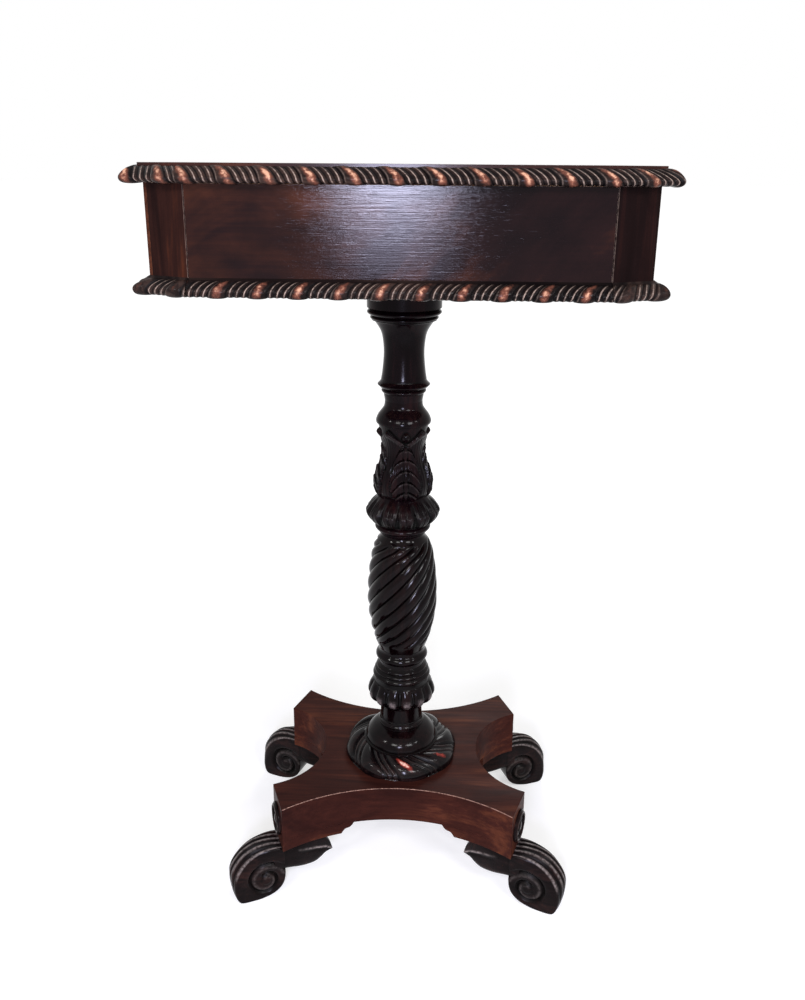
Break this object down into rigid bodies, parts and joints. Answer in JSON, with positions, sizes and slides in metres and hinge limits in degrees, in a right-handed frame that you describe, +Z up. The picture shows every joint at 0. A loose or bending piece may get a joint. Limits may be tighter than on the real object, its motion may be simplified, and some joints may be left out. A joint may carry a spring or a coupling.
{
  "type": "pedestal lamp table",
  "caption": "Octagonal gadrooned lamp table with a hidden frieze drawer, on a carved and twisted column, a hollow-sided platform and scroll feet.",
  "frame": {"origin": "on the floor, under the middle of the column", "axes": "+Z up, +X to the right of the long side, -Y towards the user: the drawer opens towards -Y"},
  "size_m": [0.444, 0.323, 0.74],
  "materials": {
    "top_mahogany": "french-polished mahogany, satin to gloss",
    "gadroon_mahogany": "carved mahogany, polished, worn to orange-brown on the lobes",
    "frieze_veneer": "flame mahogany veneer, dark and glossy, with scratches",
    "column_mahogany": "turned and carved mahogany, very dark, glossy",
    "platform_mahogany": "straight-grained mahogany, faded reddish brown, satin",
    "foot_mahogany": "carved mahogany, dark, satin",
    "carcass_pine": "plain pine, unpolished, aged",
    "drawer_oak": "plain oak, unpolished, aged",
    "dowel_wood": "plain hardwood",
    "steel": "dull steel"
  },
  "bodies": {
    "table": {"top_board": "top_mahogany", "top_gadroon_front": "gadroon_mahogany", "top_gadroon_back": "gadroon_mahogany", "top_gadroon_left": "gadroon_mahogany", "top_gadroon_right": "gadroon_mahogany", "top_gadroon_corners": "gadroon_mahogany", "low_gadroon_back": "gadroon_mahogany", "low_gadroon_left": "gadroon_mahogany", "low_gadroon_right": "gadroon_mahogany", "low_gadroon_corners": "gadroon_mahogany", "base_collar": "gadroon_mahogany", "corner_post_front_left": "frieze_veneer", "corner_post_front_right": "frieze_veneer", "corner_post_back_left": "frieze_veneer", "corner_post_back_right": "frieze_veneer", "side_panel_left": "frieze_veneer", "side_panel_right": "frieze_veneer", "back_panel": "frieze_veneer", "bearer_block": "column_mahogany", "upper_stem": "column_mahogany", "carved_vase": "column_mahogany", "twist_baluster": "column_mahogany", "lower_stem": "column_mahogany", "platform_slab": "platform_mahogany", "pad_front_left": "platform_mahogany", "pad_front_right": "platform_mahogany", "pad_back_left": "platform_mahogany", "pad_back_right": "platform_mahogany", "roundel_front_left": "platform_mahogany", "roundel_front_right": "platform_mahogany", "roundel_back_left": "platform_mahogany", "roundel_back_right": "platform_mahogany", "foot_front_left": "foot_mahogany", "foot_front_right": "foot_mahogany", "foot_back_left": "foot_mahogany", "foot_back_right": "foot_mahogany", "carcass_bottom": "carcass_pine", "front_rail": "carcass_pine", "runner_left": "carcass_pine", "runner_right": "carcass_pine", "guide_left": "carcass_pine", "guide_right": "carcass_pine", "kicker_left": "carcass_pine", "kicker_right": "carcass_pine", "drawer_stops": "carcass_pine", "tenon_wedges": "dowel_wood", "foot_dowels": "dowel_wood", "top_screws": "steel", "bearer_screws": "steel"},
    "drawer": {"drawer_front": "frieze_veneer", "drawer_gadroon": "gadroon_mahogany", "drawer_side_left": "drawer_oak", "drawer_side_right": "drawer_oak", "drawer_back": "drawer_oak", "drawer_bottom": "drawer_oak", "drawer_nails": "steel"}
  },
  "joints": [
    {"name": "drawer_slide", "type": "slide", "parent": "table", "child": "drawer", "axis": [0, -1, 0], "range_m": [0, 0.19]}
  ]
}
